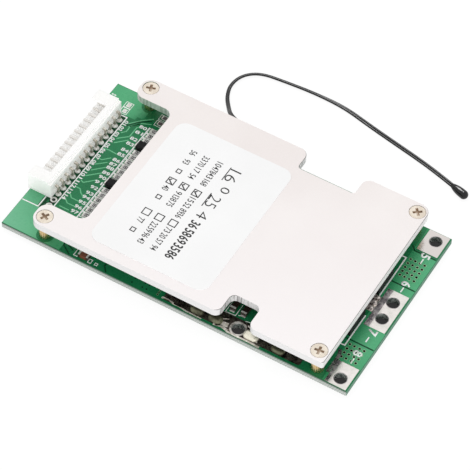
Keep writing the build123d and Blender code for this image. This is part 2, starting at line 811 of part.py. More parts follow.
pieces = {
    "circuit_board": circuit_board(),
    "back_terminal": back_terminal(),
    "middle_terminal": middle_terminal(),
    "front_terminal": front_terminal(),
    "mounting_hole_ring": mounting_hole_ring(),
    "front_bus_strip": front_bus_strip(),
    "bus_solder_mounds": bus_solder_mounds(),
    "bridge_solder": bridge_solder(),
    "heatsink_plate": heatsink_plate(),
    "plate_screws": plate_screws(),
    "standoffs": standoffs(),
    "connector_housing": connector_housing(),
    "connector_pins": connector_pins(),
    "connector_solder": connector_solder(),
    "spare_hole_rings": spare_hole_rings(),
    "mosfet_bodies": mosfet_bodies(),
    "mosfet_tabs": mosfet_tabs(),
    "mosfet_leads": mosfet_leads(),
    "thermal_pad": thermal_pad(),
    "balance_resistors": resistor_bodies,
    "balance_resistor_ends": resistor_ends,
    "small_resistors": small_resistor_bodies,
    "small_resistor_ends": small_resistor_ends,
    "shunt_resistors": shunt_bodies,
    "shunt_resistor_ends": shunt_ends,
    "capacitors": capacitor_bodies,
    "capacitor_ends": capacitor_ends,
    "diode_bodies": diode_bodies(),
    "diode_leads": diode_leads(),
    "controller_chips": controller_chips(),
    "controller_chip_leads": controller_chip_leads(),
    "label": label(),
    "lead_anchor": lead_anchor(),
    "thermistor_lead": thermistor_lead(),
    "thermistor_bead": thermistor_bead(),
}

os.makedirs("parts", exist_ok=True)
for name, piece in pieces.items():
    export_step(piece, f"parts/{name}.step")
print(len(pieces), "pieces written")
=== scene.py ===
# %% [markdown]
# # Dressing a battery management board
# The board arrives from CAD as finished solids: the green board, its balance socket, the aluminium
# plate on brass standoffs, the power terminals and the temperature lead. Blender adds what a solid
# can't carry: the finish of each surface, the white print, the copper under the mask, and the line
# of the loose lead. Everything stays in the CAD frame, in metres.

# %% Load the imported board
import math

import bmesh
import bpy
from mathutils import Matrix, Vector


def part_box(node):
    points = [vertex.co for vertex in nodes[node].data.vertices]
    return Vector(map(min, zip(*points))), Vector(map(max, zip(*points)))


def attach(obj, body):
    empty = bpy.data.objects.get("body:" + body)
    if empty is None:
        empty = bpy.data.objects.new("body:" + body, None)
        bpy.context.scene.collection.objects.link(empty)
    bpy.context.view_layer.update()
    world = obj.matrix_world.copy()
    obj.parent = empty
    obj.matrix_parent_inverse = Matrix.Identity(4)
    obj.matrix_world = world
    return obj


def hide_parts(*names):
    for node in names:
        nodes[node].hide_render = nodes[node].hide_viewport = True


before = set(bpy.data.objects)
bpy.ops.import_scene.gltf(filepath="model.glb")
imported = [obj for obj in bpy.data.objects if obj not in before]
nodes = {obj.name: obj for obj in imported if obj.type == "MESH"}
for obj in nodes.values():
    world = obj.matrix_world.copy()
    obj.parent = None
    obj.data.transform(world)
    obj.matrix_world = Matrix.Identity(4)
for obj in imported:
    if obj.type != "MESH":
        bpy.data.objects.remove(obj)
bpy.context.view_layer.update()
scene = bpy.context.scene
mm = 0.001

# %% [markdown]
# ## The camera
# The picture looks down on the board from its front right corner, through a long lens. Three
# measured vectors say where the camera stands, where it looks and which way its right side points;
# its own up follows from the last two. That is surer than turning a camera by eye, because the
# roll is part of the view.

# %% Place the camera
camera_place = Vector((220.25, -409.80, 581.55)) * mm
camera_forward = Vector((-0.29307, 0.55252, -0.78028)).normalized()
camera_right = Vector((0.86237, 0.50515, 0.03379)).normalized()
camera_up = camera_right.cross(camera_forward)


def add_object(name, data):
    """Puts a new object into the scene."""
    made = bpy.data.objects.new(name, data)
    scene.collection.objects.link(made)
    return made


camera = add_object("camera", bpy.data.cameras.new("camera"))
camera.data.lens = 203.5
camera.data.sensor_width = 36.0
camera.data.clip_start = 0.01
camera.data.clip_end = 20.0
turn = Matrix((camera_right, camera_up, -camera_forward)).transposed().to_4x4()
camera.matrix_world = Matrix.Translation(camera_place) @ turn
scene.camera = camera
print("camera", round(camera_place.length, 3), "m from the board")

# %% [markdown]
# ## The temperature lead
# The lead is two fine insulated wires side by side, black and limp. It comes out from under the
# plate's back edge, drops to the table and runs round in one loose bow to its sensor bead. A NURBS
# curve is the right thing for it: a few points set its line, and its section is a small figure of
# eight, so the groove between the wires is really there. Each point also turns that section a
# little, because a limp flat lead never lies flat all the way.

# %% Lay the lead along its route
lead_width = 1.3
wire_radius = 0.36
lead_route = [
    (-8.7, 22.6, 4.1),
    (-8.7, 26.0, 4.1),
    (-11.0, 29.7, 6.2),
    (-15.1, 33.2, 6.9),
    (-19.8, 36.1, 4.9),
    (-22.9, 40.3, 2.3),
    (-26.1, 44.9, 0.8),
    (-27.7, 49.8, 0.65),
    (-26.4, 54.9, 0.65),
    (-22.1, 58.3, 0.65),
    (-14.6, 59.1, 0.65),
    (-5.3, 59.8, 0.65),
    (5.2, 59.6, 0.65),
    (15.1, 57.2, 0.65),
    (24.6, 55.2, 0.65),
    (33.8, 53.3, 0.65),
    (41.1, 50.9, 1.35),
    (46.0, 49.4, 1.35),
]
lead_turns = [0, 0, 0, 0, -10, -20, -32, -34, -34, -34, -34, -30, 0, 39, 39, 39, 39, 39]


def wire_pair_section(points_per_wire=13):
    """The lead's section as a closed curve: two round wires that touch side by side."""
    offset = lead_width / 2 - wire_radius
    waist = math.acos(offset / wire_radius)
    places = []
    for side in (1, -1):
        for i in range(points_per_wire):
            share = i / (points_per_wire - 1)
            angle = -math.pi + waist + share * 2 * (math.pi - waist)
            x = side * (offset + wire_radius * math.cos(angle))
            y = side * wire_radius * math.sin(angle)
            places.append((x, y))
    data = bpy.data.curves.new("lead_section", "CURVE")
    spline = data.splines.new("POLY")
    spline.points.add(len(places) - 1)
    for point, (x, y) in zip(spline.points, places):
        point.co = (x * mm, y * mm, 0, 1)
    spline.use_cyclic_u = True
    return add_object("lead_section", data)


def curve_as_mesh(curve, name):
    """The mesh that a curve makes, measured in the row frame."""
    holder = add_object(name, curve)
    bpy.context.view_layer.update()
    depsgraph = bpy.context.evaluated_depsgraph_get()
    mesh = bpy.data.meshes.new_from_object(holder.evaluated_get(depsgraph))
    bpy.data.objects.remove(holder)
    mesh.name = name
    return mesh


lead_curve = bpy.data.curves.new("lead_line", "CURVE")
lead_curve.dimensions = "3D"
lead_curve.resolution_u = 20
lead_spline = lead_curve.splines.new("NURBS")
lead_spline.points.add(len(lead_route) - 1)
for point, place, degrees in zip(lead_spline.points, lead_route, lead_turns):
    point.co = (place[0] * mm, place[1] * mm, place[2] * mm, 1)
    point.tilt = math.radians(degrees)
lead_spline.use_endpoint_u = True
lead_spline.order_u = 3
lead_curve.twist_mode = "Z_UP"
lead_line = [vertex.co.copy() for vertex in curve_as_mesh(lead_curve, "lead_line").vertices]
lead_curve.bevel_mode = "OBJECT"
lead_curve.bevel_object = wire_pair_section()
lead_curve.use_fill_caps = True
lead_mesh = curve_as_mesh(lead_curve, "lead_cord")
lead_bm = bmesh.new()
lead_bm.from_mesh(lead_mesh)
bmesh.ops.remove_doubles(lead_bm, verts=lead_bm.verts, dist=0.001 * mm)
bmesh.ops.recalc_face_normals(lead_bm, faces=lead_bm.faces)
for face in lead_bm.faces:
    face.smooth = True
lead_bm.to_mesh(lead_mesh)
lead_bm.free()
bpy.data.objects.remove(lead_curve.bevel_object)
lead_cord = add_object("lead_cord", lead_mesh)
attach(lead_cord, "root")
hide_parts("thermistor_lead")
print("lead faces", len(lead_mesh.polygons), "line points", len(lead_line))

# %% [markdown]
# ## Table, sky and lamps
# A product picture like this one is shot in a white tent: light from everywhere, a little more from
# above, and a table so bright that it melts into the background. The world gives the even part,
# one large lamp from the back left throws soft shadows forward, a low one from the front right keeps
# the near walls pale, and both camera and mirror rays see plain white. The third, a small lamp, is
# there for the black lead and its bead only, where it draws the long highlights. The table gives the
# camera mostly its own glow, which keeps a faint shadow; only the patch that the board covers is
# painted dark, as painted shade under the board, so that the drilled holes look deep.

# %% Build the stage


def feed(tree, slot, value):
    """Gives a socket its value, from another socket or as a plain number or colour."""
    if isinstance(value, bpy.types.NodeSocket):
        tree.links.new(value, slot)
    else:
        slot.default_value = value


def math_step(tree, operation, first, second=0.0):
    """One step of arithmetic on sockets or plain numbers."""
    step = tree.nodes.new("ShaderNodeMath")
    step.operation = operation
    feed(tree, step.inputs[0], first)
    feed(tree, step.inputs[1], second)
    return step.outputs[0]


def spread(tree, value, low, high, to_low=0.0, to_high=1.0):
    """Carries a value from one span over to another, and holds it at the ends."""
    level = tree.nodes.new("ShaderNodeMapRange")
    for name, number in (("Value", value), ("From Min", low), ("From Max", high), ("To Min", to_low),
                         ("To Max", to_high)):
        feed(tree, level.inputs[name], number)
    return level.outputs["Result"]


def white_to_camera(tree):
    """A value of 1 for rays that see the background directly, in a mirror or through glass."""
    rays = tree.nodes.new("ShaderNodeLightPath").outputs
    straight = math_step(tree, "MAXIMUM", rays["Is Camera Ray"], rays["Is Glossy Ray"])
    return math_step(tree, "MAXIMUM", straight, rays["Is Transmission Ray"])


sky_strength = 0.62
world = bpy.data.worlds.new("tent")
world.use_nodes = True
sky_tree = world.node_tree
sky = sky_tree.nodes["Background"]
sky.inputs["Color"].default_value = (1, 1, 1, 1)
sky_level = spread(sky_tree, white_to_camera(sky_tree), 0.0, 1.0, sky_strength, 1.0)
feed(sky_tree, sky.inputs["Strength"], sky_level)
scene.world = world

floor_half = 3.0
floor_mesh = bpy.data.meshes.new("table")
floor_bm = bmesh.new()
bmesh.ops.create_grid(floor_bm, x_segments=1, y_segments=1, size=floor_half)
floor_bm.to_mesh(floor_mesh)
floor_bm.free()
table = add_object("table", floor_mesh)

table_white = bpy.data.materials.new("table_white")
table_white.use_nodes = True
table_tree = table_white.node_tree
table_shader = table_tree.nodes["Principled BSDF"]
table_shader.inputs["Roughness"].default_value = 0.9
table_shader.inputs["Emission Color"].default_value = (1, 1, 1, 1)
# Painted shade: where the board covers the table, the table loses its glow and its colour and turns
# dark.
covered_half_x, covered_half_y, covered_middle_y = 54.4 * mm, 30.1 * mm, 0.3 * mm
open_glow, covered_glow = 0.9, 0.03
table_tone, tone_taken_by_glow = 0.8, 0.68
seen = white_to_camera(table_tree)
spot = table_tree.nodes.new("ShaderNodeSeparateXYZ")
table_place = table_tree.nodes.new("ShaderNodeTexCoord").outputs["Object"]
feed(table_tree, spot.inputs["Vector"], table_place)
from_middle = math_step(table_tree, "SUBTRACT", spot.outputs["Y"], covered_middle_y)
covered_x, covered_y = (
    math_step(table_tree, "LESS_THAN", math_step(table_tree, "ABSOLUTE", distance), half)
    for distance, half in ((spot.outputs["X"], covered_half_x), (from_middle, covered_half_y))
)
covered = math_step(table_tree, "MULTIPLY", covered_x, covered_y)
open_table = math_step(table_tree, "SUBTRACT", 1.0, covered)
own_glow = math_step(table_tree, "MULTIPLY", open_table, open_glow)
glow = math_step(table_tree, "MULTIPLY", seen, math_step(table_tree, "MAXIMUM", own_glow, covered_glow))
feed(table_tree, table_shader.inputs["Emission Strength"], glow)
taken = math_step(table_tree, "MULTIPLY", seen, tone_taken_by_glow)
left_over = math_step(table_tree, "SUBTRACT", table_tone, taken)
base = math_step(table_tree, "MULTIPLY", left_over, open_table)
feed(table_tree, table_shader.inputs["Base Color"], base)
table.data.materials.append(table_white)


def disk_lamp(name, place, size, energy):
    """A round area lamp that faces the board's middle."""
    data = bpy.data.lights.new(name, "AREA")
    data.shape = "DISK"
    data.size = size
    data.energy = energy
    lamp = add_object(name, data)
    place = Vector(place)
    lamp.matrix_world = Matrix.Translation(place) @ place.to_track_quat("Z", "Y").to_matrix().to_4x4()
    return lamp


key_lamp = disk_lamp("key_lamp", (-0.222, 0.195, 0.634), 0.6, 1.6)
key_lamp.visible_glossy = False
fill_lamp = disk_lamp("fill_lamp", (0.44, -0.49, 0.239), 0.5, 1.8)
fill_lamp.visible_glossy = False
glint_lamp = disk_lamp("glint_lamp", (-0.25, 0.32, 0.62), 0.4, 6.0)
glint_lamp.visible_diffuse = False
glint_receivers = bpy.data.collections.new("glint_receivers")
glint_receivers.objects.link(lead_cord)
glint_receivers.objects.link(nodes["thermistor_bead"])
glint_lamp.light_linking.receiver_collection = glint_receivers
scene.view_settings.view_transform = "Standard"
print("stage", table.name, key_lamp.name, fill_lamp.name, glint_lamp.name)

# %% [markdown]
# ## Shared effects
# Three small node groups carry the variation that every real surface has. Fine Grain gives a value
# that wavers between two limits, for roughness and bump. Tone Drift lets one colour wander a little
# towards another. Side Mask tells the sides of a flat piece from its faces, the two end walls from
# the long ones, the thin rounded rim on the right, and the walls that face front right. They put out
# values and colours only; each material keeps its own shader.

# %% Node group helpers and the three groups
number_socket = "NodeSocketFloat"
colour_socket = "NodeSocketColor"


def paint(red, green, blue):
    """A screen colour from 0 to 255, as the linear colour that a shader takes."""
    def linear(value):
        share = value / 255
        return share / 12.92 if share <= 0.04045 else ((share + 0.055) / 1.055) ** 2.4
    return (linear(red), linear(green), linear(blue), 1.0)


def new_group(name, inputs, outputs):
    """A shader node group with named sockets, and the sockets of its two end nodes."""
    group = bpy.data.node_groups.new(name, "ShaderNodeTree")
    for label, kind, value in inputs:
        socket = group.interface.new_socket(name=label, in_out="INPUT", socket_type=kind)
        socket.default_value = value
    for label, kind in outputs:
        group.interface.new_socket(name=label, in_out="OUTPUT", socket_type=kind)
    return group, group.nodes.new("NodeGroupInput").outputs, group.nodes.new("NodeGroupOutput").inputs


def blend(tree, factor, first, second):
    """Mixes two colours, each a socket or a screen colour, by a mask."""
    mixer = tree.nodes.new("ShaderNodeMix")
    mixer.data_type = "RGBA"
    for name, value in (("Factor", factor), ("A", first), ("B", second)):
        feed(tree, mixer.inputs[name], paint(*value) if isinstance(value, tuple) else value)
    return mixer.outputs["Result"]


def own_place(tree):
    """Where a point lies in its piece's own coordinates, which are the frame's."""
    return tree.nodes.new("ShaderNodeTexCoord").outputs["Object"]


def reach(tree, vector, direction):
    """How far a vector goes along a direction of the frame."""
    product = tree.nodes.new("ShaderNodeVectorMath")
    product.operation = "DOT_PRODUCT"
    feed(tree, product.inputs[0], vector)
    feed(tree, product.inputs[1], direction)
    return product.outputs["Value"]


def own_noise(tree, scale, detail=2.0, upright_scale=1.0):
    """Noise in a piece's own coordinates; a small upright scale draws it out into standing streaks."""
    place = own_place(tree)
    if upright_scale != 1.0:
        squeeze = tree.nodes.new("ShaderNodeMapping")
        squeeze.inputs["Scale"].default_value = (1.0, 1.0, upright_scale)
        feed(tree, squeeze.inputs["Vector"], place)
        place = squeeze.outputs["Vector"]
    noise = tree.nodes.new("ShaderNodeTexNoise")
    for name, value in (("Vector", place), ("Scale", scale), ("Detail", detail)):
        feed(tree, noise.inputs[name], value)
    return noise.outputs["Fac"]


fine_grain, start, end = new_group(
    "Fine Grain",
    [("Scale", number_socket, 900.0), ("Low", number_socket, 0.4), ("High", number_socket, 0.6)],
    [("Value", number_socket), ("Height", number_socket)],
)
wave = own_noise(fine_grain, start["Scale"], detail=3.0)
feed(fine_grain, end["Value"], spread(fine_grain, wave, 0.3, 0.7, start["Low"], start["High"]))
feed(fine_grain, end["Height"], wave)

tone_drift, start, end = new_group(
    "Tone Drift",
    [("Tone", colour_socket, (0.5, 0.5, 0.5, 1)), ("Other Tone", colour_socket, (0.6, 0.6, 0.6, 1)),
     ("Scale", number_socket, 120.0)],
    [("Color", colour_socket)],
)
share = spread(tone_drift, own_noise(tone_drift, start["Scale"]), 0.35, 0.65)
feed(tone_drift, end["Color"], blend(tone_drift, share, start["Tone"], start["Other Tone"]))

side_mask, start, end = new_group(
    "Side Mask", [], [(label, number_socket) for label in ("Side", "End", "Rim", "Near")],
)
side_below, end_above, rim_above, rim_below, right_above = 0.5, 0.6, 0.3, 0.96, 0.25
front_right = (0.62, -0.78, 0.0)
facing = side_mask.nodes.new("ShaderNodeNewGeometry").outputs["Normal"]
split = side_mask.nodes.new("ShaderNodeSeparateXYZ")
feed(side_mask, split.inputs["Vector"], facing)
upright = math_step(side_mask, "ABSOLUTE", split.outputs["Z"])
feed(side_mask, end["Side"], math_step(side_mask, "LESS_THAN", upright, side_below))
endwise = math_step(side_mask, "ABSOLUTE", split.outputs["X"])
feed(side_mask, end["End"], math_step(side_mask, "GREATER_THAN", endwise, end_above))
not_wall = math_step(side_mask, "GREATER_THAN", upright, rim_above)
not_face = math_step(side_mask, "LESS_THAN", upright, rim_below)
slanted = math_step(side_mask, "MULTIPLY", not_wall, not_face)
rightward = math_step(side_mask, "GREATER_THAN", split.outputs["X"], right_above)
feed(side_mask, end["Rim"], math_step(side_mask, "MULTIPLY", slanted, rightward))
feed(side_mask, end["Near"], math_step(side_mask, "MAXIMUM", reach(side_mask, facing, front_right)))
print("groups", [group.name for group in bpy.data.node_groups])

# %% [markdown]
# ## One recipe for every finish
# Most finishes here are the same recipe with other numbers: two close tones that drift into each
# other, a roughness that wavers, and a fine bump. A function lays those nodes out, and the finishes
# that need more, such as the board's two faces and cut edge, are built on top of what it returns.

# %% The finish recipe
to_right, to_left, to_back = (1.0, 0.0, 0.0), (-1.0, 0.0, 0.0), (0.0, 1.0, 0.0)
upwards, downwards = (0.0, 0.0, 1.0), (0.0, 0.0, -1.0)


def add_group(tree, group, **values):
    """Puts a shared group into a material and hands back its outputs."""
    node = tree.nodes.new("ShaderNodeGroup")
    node.node_tree = group
    for name, value in values.items():
        node.inputs[name.replace("_", " ")].default_value = value
    return node.outputs


def finish(name, tone, other_tone, rough, drift=120.0, grain=900.0, bump=0.0, depth=0.05,
           **shader_values):
    """A material whose colour drifts between two screen colours and whose roughness wavers. The
    bump is so many millimetres deep, and extra values go to the shader."""
    material = bpy.data.materials.new(name)
    material.use_nodes = True
    tree = material.node_tree
    shader = tree.nodes["Principled BSDF"]
    colour = add_group(tree, tone_drift, Tone=paint(*tone), Other_Tone=paint(*other_tone), Scale=drift)
    waver = add_group(tree, fine_grain, Scale=grain, Low=rough[0], High=rough[1])
    feed(tree, shader.inputs["Base Color"], colour["Color"])
    feed(tree, shader.inputs["Roughness"], waver["Value"])
    if bump:
        relief = tree.nodes.new("ShaderNodeBump")
        relief.inputs["Strength"].default_value = bump
        relief.inputs["Distance"].default_value = depth * mm
        feed(tree, relief.inputs["Height"], waver["Height"])
        feed(tree, shader.inputs["Normal"], relief.outputs["Normal"])
    for socket, value in shader_values.items():
        shader.inputs[socket.replace("_", " ")].default_value = value
    return material


def dress(material, *names):
    """Gives CAD nodes a finish."""
    for name in names:
        slots = nodes[name].data.materials
        slots.clear()
        slots.append(material)


def ramp_along(tree, direction, low, high):
    """A value that climbs from 0 to 1 along a direction of the frame, between two distances."""
    return spread(tree, reach(tree, own_place(tree), direction), low * mm, high * mm)


def stripes(tree, direction, period):
    """A value that swings between 0 and 1 along a direction, once in every period."""
    turns = reach(tree, own_place(tree), Vector(direction) * math.tau / (period * mm))
    return spread(tree, math_step(tree, "SINE", turns), -1.0, 1.0)


def side_masks(tree):
    """The outputs of the Side Mask group, put into a material."""
    return add_group(tree, side_mask)


def recolour(material, change):
    """Passes a material's base colour through a further step before its shader."""
    tree = material.node_tree
    socket = tree.nodes["Principled BSDF"].inputs["Base Color"]
    feed(tree, socket, change(tree, socket.links[0].from_socket))


def tint_along(material, direction, low, high, colour):
    """Turns a material's colour into another one along a direction, between two distances."""
    def change(tree, tone):
        return blend(tree, ramp_along(tree, direction, low, high), tone, colour)
    recolour(material, change)


def tint_sides(material, colour):
    """Gives the sides of a piece another colour than its faces."""
    recolour(material, lambda tree, tone: blend(tree, side_masks(tree)["Side"], tone, colour))


# %% [markdown]
# ## Metals
# The plate is blasted aluminium: fully metallic but rough, so it takes the tent's white evenly, while
# its punched walls scatter light like chalk. The tinned lands were dipped in solder and are nearly
# mirrors. The strip along the front edge has a painted dark colour, a painted reflection of the plate's
# underside. Brass, steel and the solders differ in colour, roughness and how metallic they look.

# %% Make and place the metals
plate_metal = finish("plate_metal", (247, 242, 240), (243, 237, 235), (0.5, 0.62), drift=40.0,
                     grain=2600.0, bump=0.12, depth=0.02, Metallic=1.0)
plain_wall = (240, 239, 239)


def plate_tones(tree, face):
    """Paler towards the front as a painted sheen, with a grey line of painted shade along the right rim.
    The walls are nearly white and streaked, except in front and at the right end, and one gets a
    painted green reflection of the board below it."""
    masks = side_masks(tree)
    # Painted sheen: the face grows paler towards the front.
    towards_front = ramp_along(tree, (0.35, -0.94, 0.0), -25.0, 40.0)
    face = blend(tree, towards_front, face, (251, 247, 247))
    streaks = spread(tree, own_noise(tree, 1500.0, upright_scale=0.08), 0.5, 0.66)
    punched = blend(tree, streaks, plain_wall, (168, 166, 165))
    wall = blend(tree, ramp_along(tree, to_back, -30.8, -30.0), plain_wall, punched)
    wall = blend(tree, ramp_along(tree, to_right, 36.0, 37.0), wall, plain_wall)
    # Painted reflection: walls facing front right are tinted green by the board below them.
    painted_green_reflection = blend(tree, streaks, (168, 194, 174), (136, 164, 142))
    wall_with_painted_reflection = blend(tree, masks["Near"], wall, painted_green_reflection)
    wall = blend(tree, ramp_along(tree, (-0.7, 0.7, 0.0), 36.0, 39.0), wall, wall_with_painted_reflection)
    walls = blend(tree, masks["Side"], face, wall)
    # Painted shade: a grey line on the rounded right rim.
    return blend(tree, masks["Rim"], walls, (150, 148, 147))


recolour(plate_metal, plate_tones)
plate_tree = plate_metal.node_tree
face_metallic, wall_metallic = 1.0, 0.25
metallic = spread(plate_tree, side_masks(plate_tree)["Side"], 0.0, 1.0, face_metallic, wall_metallic)
feed(plate_tree, plate_tree.nodes["Principled BSDF"].inputs["Metallic"], metallic)
dress(plate_metal, "heatsink_plate")

# The land at the back corner is a shade duller than the others.
tin = finish("tin", (240, 234, 230), (222, 220, 214), (0.1, 0.24), drift=500.0, grain=420.0, bump=0.25,
             depth=0.08, Metallic=1.0)
tint_along(tin, to_back, 18.0, 21.0, (220, 214, 210))
dress(tin, "back_terminal", "middle_terminal", "front_terminal")

ring_tin = finish("ring_tin", (232, 228, 222), (120, 114, 106), (0.25, 0.45), drift=700.0, grain=420.0,
                  bump=0.4, depth=0.1, Metallic=0.4)
dress(ring_tin, "mounting_hole_ring")

# Painted reflection: the dark tones stand in for the plate's underside mirrored in the tin.
bus_tin = finish("bus_tin", (132, 120, 112), (46, 40, 38), (0.15, 0.35), drift=700.0, grain=500.0,
                 bump=0.8, depth=0.2, Metallic=0.8)
dress(bus_tin, "front_bus_strip")

crumpled_solder = finish("crumpled_solder", (232, 222, 216), (84, 76, 74), (0.15, 0.35), drift=1300.0,
                         grain=700.0, bump=0.9, depth=0.2, Metallic=0.6)
dress(crumpled_solder, "bridge_solder")

fluxed_solder = finish("fluxed_solder", (122, 122, 98), (70, 70, 54), (0.25, 0.5), drift=420.0,
                       grain=520.0, bump=0.6, depth=0.16, Metallic=0.6)


def pale_mound(tree, tone):
    """The mound beside the mounting hole is clean and pale, the others are dull."""
    from_hole = blend(tree, ramp_along(tree, to_right, 20.0, 21.0), tone, (240, 236, 218))
    return blend(tree, ramp_along(tree, to_right, 28.0, 29.0), from_hole, tone)


recolour(fluxed_solder, pale_mound)
dress(fluxed_solder, "bus_solder_mounds")

# Inside the socket's mouth the pins are painted brighter, as painted light from the white walls round
# them; behind its wall they keep a greyer tone.
pin_metal = finish("pin_metal", (222, 218, 208), (176, 168, 154), (0.2, 0.34), drift=900.0,
                   Metallic=0.7)
tint_along(pin_metal, to_left, 49.5, 50.5, (232, 229, 225))
dress(pin_metal, "connector_pins", "mosfet_tabs", "mosfet_leads")

chip_end_metal = finish("chip_end_metal", (232, 230, 226), (200, 196, 190), (0.25, 0.4), drift=900.0,
                        grain=1500.0, bump=0.2, Metallic=0.5)
dress(chip_end_metal, "balance_resistor_ends", "small_resistor_ends", "shunt_resistor_ends",
      "diode_leads", "controller_chip_leads")

# Only the tops of the capacitors' ends are bright; their sides are painted dark, as painted shade.
capacitor_end_metal = finish("capacitor_end_metal", (236, 234, 230), (214, 210, 204), (0.25, 0.4),
                             drift=900.0, grain=1500.0, bump=0.2, Metallic=0.2)
tint_sides(capacitor_end_metal, (66, 54, 50))
dress(capacitor_end_metal, "capacitor_ends")

brass = finish("brass", (238, 216, 172), (224, 198, 150), (0.22, 0.36), drift=300.0, grain=1500.0,
               bump=0.15, Metallic=1.0)
dress(brass, "standoffs")

# The driver recess of a screw and its head's edge in the seat are painted browner and darker below the
# top, as painted shade.
screw_steel = finish("screw_steel", (242, 232, 217), (226, 214, 198), (0.2, 0.34), drift=420.0,
                     grain=1400.0, bump=0.15, Metallic=0.6)
screw_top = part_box("plate_screws")[1].z / mm
shade_begins, shade_full = 0.16, 0.3
tint_along(screw_steel, downwards, shade_begins - screw_top, shade_full - screw_top, (206, 188, 170))
dress(screw_steel, "plate_screws")
print("metals", len(bpy.data.materials))

# %% [markdown]
# ## Plastics, ceramics and paper
# Moulded nylon lets a little light into its skin, so the socket looks milky, and it is given a painted
# glow too: a faint emission, strongest on the walls that face front right. Chip bodies are black epoxy
# with a dull, faintly grainy face. The resistors are white ceramic blocks with a dark glaze on top
# only, the capacitors are brown ceramic, and the label is smooth coated paper.

# %% Make and place the other finishes
nylon = finish("nylon", (251, 250, 248), (248, 247, 244), (0.38, 0.5), drift=90.0, grain=1300.0,
               bump=0.1, Subsurface_Weight=0.5, Subsurface_Scale=1.6 * mm,
               Subsurface_Radius=(1.0, 1.0, 1.0), Emission_Strength=0.28)
nylon_tree = nylon.node_tree
# Painted light: the nylon glows faintly, and brightest on its walls facing front right.
painted_glow_colour = blend(nylon_tree, side_masks(nylon_tree)["Near"], (124, 124, 124), (255, 255, 255))
feed(nylon_tree, nylon_tree.nodes["Principled BSDF"].inputs["Emission Color"], painted_glow_colour)
dress(nylon, "connector_housing")

black_epoxy = finish("black_epoxy", (20, 20, 22), (12, 12, 14), (0.5, 0.65), drift=500.0, grain=3200.0,
                     bump=0.35, depth=0.03, Specular_IOR_Level=0.25)
dress(black_epoxy, "mosfet_bodies", "shunt_resistors", "diode_bodies", "controller_chips")

resistor_glaze = finish("resistor_glaze", (88, 84, 82), (58, 56, 56), (0.25, 0.45), drift=700.0,
                        grain=1800.0, bump=0.2)
tint_sides(resistor_glaze, (232, 232, 228))
dress(resistor_glaze, "balance_resistors", "small_resistors")

# The capacitor near the left corner has a redder body than the two in the front notch.
capacitor_brown = finish("capacitor_brown", (52, 34, 30), (40, 26, 24), (0.3, 0.45), drift=700.0,
                         grain=2200.0, bump=0.2)
tint_along(capacitor_brown, to_left, 0.0, 10.0, (120, 66, 50))
dress(capacitor_brown, "capacitors")

label_paper = finish("label_paper", (251, 251, 251), (248, 248, 248), (0.45, 0.6), drift=60.0,
                     grain=3000.0, bump=0.08, depth=0.01)
dress(label_paper, "label")

silicone_pad = finish("silicone_pad", (150, 154, 158), (138, 142, 146), (0.6, 0.75))
dress(silicone_pad, "thermal_pad")

white_glue = finish("white_glue", (232, 228, 214), (220, 214, 196), (0.3, 0.5), bump=0.4)
dress(white_glue, "lead_anchor")

lead_black = finish("lead_black", (28, 28, 29), (22, 22, 23), (0.2, 0.26), drift=120.0, grain=300.0,
                    bump=0.03, Specular_IOR_Level=0.3)
lead_mesh.materials.append(lead_black)

bead_black = finish("bead_black", (8, 8, 9), (4, 4, 5), (0.05, 0.1), drift=400.0, grain=600.0, bump=0.6,
                    depth=0.3, Specular_IOR_Level=0.4)
dress(bead_black, "thermistor_bead")
print("finishes", len(bpy.data.materials))

# %% [markdown]
# ## The green board
# A board is glass cloth and resin under a coloured lacquer. Its two faces are glossy green, a shade
# lighter where copper lies underneath, and its sawn edge shows the bare grey-green cloth, streaked
# by the saw. The Side Mask chooses between the two looks, so one material covers the solid.

# %% Make the board's lacquer and its sawn edge
board_lacquer = finish("board_lacquer", (30, 124, 78), (24, 112, 68), (0.24, 0.34), drift=70.0,
                       grain=1500.0, bump=0.1, depth=0.02, Specular_IOR_Level=0.3)
hatch_period = 0.52


def sawn_edges(tree, lacquer):
    """The ends show streaked grey-green cloth; the long edges are paler, with a fine slanted hatch
    that goes over into a dark green line below the face."""
    masks = side_masks(tree)
    streaks = own_noise(tree, 2400.0, upright_scale=0.12)
    end_cloth = blend(tree, streaks, (96, 136, 114), (130, 164, 146))
    hatch = stripes(tree, (1.0, 0.0, 0.5), hatch_period)
    long_edge = blend(tree, hatch, (116, 126, 118), (244, 248, 244))
    long_edge = blend(tree, ramp_along(tree, upwards, 2.1, 2.9), long_edge, (56, 92, 72))
    edge = blend(tree, masks["End"], long_edge, end_cloth)
    return blend(tree, masks["Side"], lacquer, edge)


def dull_edges(material):
    """The sawn cloth has no lacquer on it, so it is fully rough."""
    tree = material.node_tree
    socket = tree.nodes["Principled BSDF"].inputs["Roughness"]
    under_lacquer = socket.links[0].from_socket
    feed(tree, socket, math_step(tree, "MAXIMUM", under_lacquer, side_masks(tree)["Side"]))


recolour(board_lacquer, sawn_edges)
dull_edges(board_lacquer)
dress(board_lacquer, "circuit_board")
board_low, board_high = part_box("circuit_board")
board_middle = (board_low + board_high) / 2
board_face = board_high.z
print("board face at", round(board_face / mm, 2), "mm")

# %% [markdown]
# ## Tools for flat work
# Print, copper and labels are all thin flat shapes lying on a face. Each is grown from a first edge
# or a ready-made circle and then given its thickness, so it is a real closed piece of ink or foil,
# a few hundredths of a millimetre high, and never fights with the face below it. It lies on the
# board's face unless another level is named.

# %% Flat-work tools
ink_height = 0.03


def on_board(x, y):
    """A place measured in millimetres from the board's middle, in the frame's metres."""
    return board_middle.x + x * mm, board_middle.y + y * mm


def thicken(bm, faces, height):
    """Raises flat faces into a closed slab."""
    raised = bmesh.ops.extrude_face_region(bm, geom=faces, use_keep_orig=True)
    verts = [item for item in raised["geom"] if isinstance(item, bmesh.types.BMVert)]
    bmesh.ops.translate(bm, vec=(0, 0, height * mm), verts=verts)


